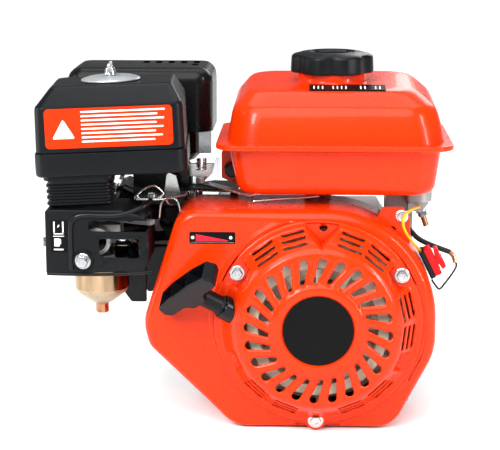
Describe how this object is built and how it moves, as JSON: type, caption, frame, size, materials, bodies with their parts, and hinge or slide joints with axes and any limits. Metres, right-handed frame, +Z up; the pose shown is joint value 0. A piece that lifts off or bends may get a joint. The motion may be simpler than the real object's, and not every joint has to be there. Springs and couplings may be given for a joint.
{
  "type": "small gasoline engine",
  "caption": "Single-cylinder air-cooled petrol engine with recoil starter, side fuel tank, air cleaner and a horizontal keyed output shaft.",
  "frame": {"origin": "on the foot plane, straight below the crankshaft axis, halfway along the foot", "axes": "+Z up, +Y along the crankshaft towards the output shaft, -X towards the cylinder head and air cleaner"},
  "size_m": [0.4032, 0.3377, 0.351],
  "materials": {
    "orange_paint": "glossy baked enamel",
    "cast_aluminium": "as cast",
    "cast_iron": "cast and machined",
    "steel": "ground",
    "zinc_plate": "bright zinc",
    "yellow_zinc": "yellow passivated",
    "black_plastic": "fine grain",
    "black_enamel": "satin black",
    "beige_plastic": "moulded",
    "filter_foam": "open foam",
    "plug_ceramic": "glazed",
    "red_plastic": "moulded",
    "black_rubber": "sleeve",
    "yellow_wire": "insulated wire",
    "starter_cord": "braided"
  },
  "bodies": {
    "engine_block": {"fan_cover": "orange_paint", "starter_housing": "orange_paint", "fuel_tank_upper": "orange_paint", "fuel_tank_lower": "orange_paint", "crankcase": "cast_aluminium", "side_cover": "cast_aluminium", "cylinder_head": "cast_aluminium", "carburetor": "cast_aluminium", "ignition_coil": "cast_iron", "bearing_flywheel_side": "steel", "bearing_output_side": "steel", "cover_plate": "zinc_plate", "float_bowl": "yellow_zinc", "bowl_drain_bolt": "yellow_zinc", "air_cleaner_case": "black_plastic", "air_cleaner_cover": "black_plastic", "carb_cover": "black_plastic", "intake_insulator": "black_plastic", "rope_guide": "black_plastic", "stop_switch_body": "black_plastic", "rocker_cover": "black_enamel", "muffler": "black_enamel", "muffler_guard": "black_enamel", "control_base": "black_enamel", "filter_element": "filter_foam", "spark_plug": "plug_ceramic", "ignition_lead": "black_rubber", "switch_wire_black": "black_rubber", "switch_wire_yellow": "yellow_wire", "starter_rope": "starter_cord"},
    "crank_train": {"crankshaft_flywheel_end": "steel", "crankshaft_output_end": "steel", "timing_gear": "steel", "flywheel": "cast_iron", "cooling_fan": "beige_plastic", "starter_cup": "steel", "flywheel_nut": "steel"},
    "camshaft": {"camshaft": "cast_iron"},
    "piston_group": {"piston": "cast_aluminium", "wrist_pin": "steel", "connecting_rod": "cast_aluminium", "crankpin": "steel"},
    "intake_pushrod": {"intake_pushrod": "steel"},
    "exhaust_pushrod": {"exhaust_pushrod": "steel"},
    "intake_rocker": {"intake_rocker": "steel"},
    "exhaust_rocker": {"exhaust_rocker": "steel"},
    "intake_valve": {"intake_valve": "steel"},
    "exhaust_valve": {"exhaust_valve": "steel"},
    "starter_reel": {"starter_reel": "beige_plastic"},
    "starter_handle": {"starter_handle": "black_plastic"},
    "fuel_cap": {"fuel_cap": "black_plastic"},
    "wing_nut": {"wing_nut": "zinc_plate"},
    "choke_lever": {"choke_lever": "zinc_plate"},
    "fuel_valve_lever": {"fuel_valve_lever": "black_plastic"},
    "throttle_lever": {"throttle_lever": "zinc_plate"},
    "governor_arm": {"governor_arm": "zinc_plate"},
    "governor_rod": {"governor_rod": "zinc_plate"},
    "stop_switch_rocker": {"stop_switch_rocker": "red_plastic"},
    "oil_dipstick": {"oil_dipstick": "black_plastic"}
  },
  "joints": [
    {"name": "crank_spin", "type": "hinge", "parent": "engine_block", "child": "crank_train", "pos_m": [0, 0, 0.106], "axis": [0, 1, 0], "continuous": true},
    {"name": "camshaft_spin", "type": "hinge", "parent": "engine_block", "child": "camshaft", "pos_m": [-0.042, 0, 0.066], "axis": [0, 1, 0], "continuous": true},
    {"name": "piston_stroke", "type": "slide", "parent": "engine_block", "child": "piston_group", "axis": [0.9063, 0, -0.4226], "range_m": [0, 0.054]},
    {"name": "intake_pushrod_lift", "type": "slide", "parent": "engine_block", "child": "intake_pushrod", "axis": [-0.9063, 0, 0.4226], "range_m": [0, 0.005], "stiffness_N_per_m": 800, "springref_m": -0.01},
    {"name": "intake_rocker_tilt", "type": "hinge", "parent": "engine_block", "child": "intake_rocker", "pos_m": [-0.19412, -0.016, 0.17004], "axis": [0, 1, 0], "range_deg": [0, 9.6]},
    {"name": "intake_valve_lift", "type": "slide", "parent": "engine_block", "child": "intake_valve", "axis": [0.9063, 0, -0.4226], "range_m": [0, 0.00501]},
    {"name": "exhaust_pushrod_lift", "type": "slide", "parent": "engine_block", "child": "exhaust_pushrod", "axis": [-0.9063, 0, 0.4226], "range_m": [0, 0.005], "stiffness_N_per_m": 800, "springref_m": -0.01},
    {"name": "exhaust_rocker_tilt", "type": "hinge", "parent": "engine_block", "child": "exhaust_rocker", "pos_m": [-0.19412, 0.016, 0.17004], "axis": [0, 1, 0], "range_deg": [0, 9.6]},
    {"name": "exhaust_valve_lift", "type": "slide", "parent": "engine_block", "child": "exhaust_valve", "axis": [0.9063, 0, -0.4226], "range_m": [0, 0.00501]},
    {"name": "starter_pull", "type": "slide", "parent": "engine_block", "child": "starter_handle", "axis": [-0.8065, -0.309, 0.504], "range_m": [0, 0.8], "stiffness_N_per_m": 12, "springref_m": -0.6},
    {"name": "starter_reel_spin", "type": "hinge", "parent": "engine_block", "child": "starter_reel", "pos_m": [0, 0, 0.106], "axis": [0, 1, 0], "range_deg": [0, 740]},
    {"name": "fuel_cap_turn", "type": "hinge", "parent": "engine_block", "child": "fuel_cap", "pos_m": [0.012, -0.04, 0.34], "axis": [0, 0, 1], "range_deg": [0, 90]},
    {"name": "wing_nut_turn", "type": "hinge", "parent": "engine_block", "child": "wing_nut", "pos_m": [-0.19745, -0.09, 0.33523], "axis": [-0.0384, 0, 0.9993], "range_deg": [0, 720]},
    {"name": "choke_turn", "type": "hinge", "parent": "engine_block", "child": "choke_lever", "pos_m": [-0.207, -0.105, 0.197], "axis": [0, 0, -1], "range_deg": [0, 60]},
    {"name": "fuel_valve_turn", "type": "hinge", "parent": "engine_block", "child": "fuel_valve_lever", "pos_m": [-0.177, -0.121, 0.175], "axis": [0, 1, 0], "range_deg": [0, 90]},
    {"name": "throttle_turn", "type": "hinge", "parent": "engine_block", "child": "throttle_lever", "pos_m": [-0.117, -0.03, 0.22], "axis": [0, 0, -1], "range_deg": [0, 38]},
    {"name": "governor_swing", "type": "hinge", "parent": "engine_block", "child": "governor_arm", "pos_m": [-0.084, -0.0473, 0.15], "axis": [0, 1, 0], "range_deg": [-7, 7]},
    {"name": "governor_rod_slide", "type": "slide", "parent": "engine_block", "child": "governor_rod", "axis": [1, 0, 0], "range_m": [-0.008, 0.008]},
    {"name": "stop_switch_rock", "type": "hinge", "parent": "engine_block", "child": "stop_switch_rocker", "pos_m": [0.10856, -0.095, 0.15654], "axis": [0, 1, 0], "range_deg": [0, 11]},
    {"name": "dipstick_turn", "type": "hinge", "parent": "engine_block", "child": "oil_dipstick", "pos_m": [0.048, 0.07, 0.036], "axis": [0, 1, 0], "range_deg": [0, 720]}
  ],
  "couplings": [
    {"joint": "camshaft_spin", "follows": "crank_spin", "ratio": -0.5},
    {"joint": "starter_reel_spin", "follows": "starter_pull", "rad_per_m": 16},
    {"joint": "governor_rod_slide", "follows": "governor_swing", "m_per_rad": 0.063},
    {"joint": "intake_rocker_tilt", "follows": "intake_pushrod_lift", "rad_per_m": 33.333},
    {"joint": "intake_valve_lift", "follows": "intake_pushrod_lift", "ratio": 1},
    {"joint": "exhaust_rocker_tilt", "follows": "exhaust_pushrod_lift", "rad_per_m": 33.333},
    {"joint": "exhaust_valve_lift", "follows": "exhaust_pushrod_lift", "ratio": 1}
  ]
}
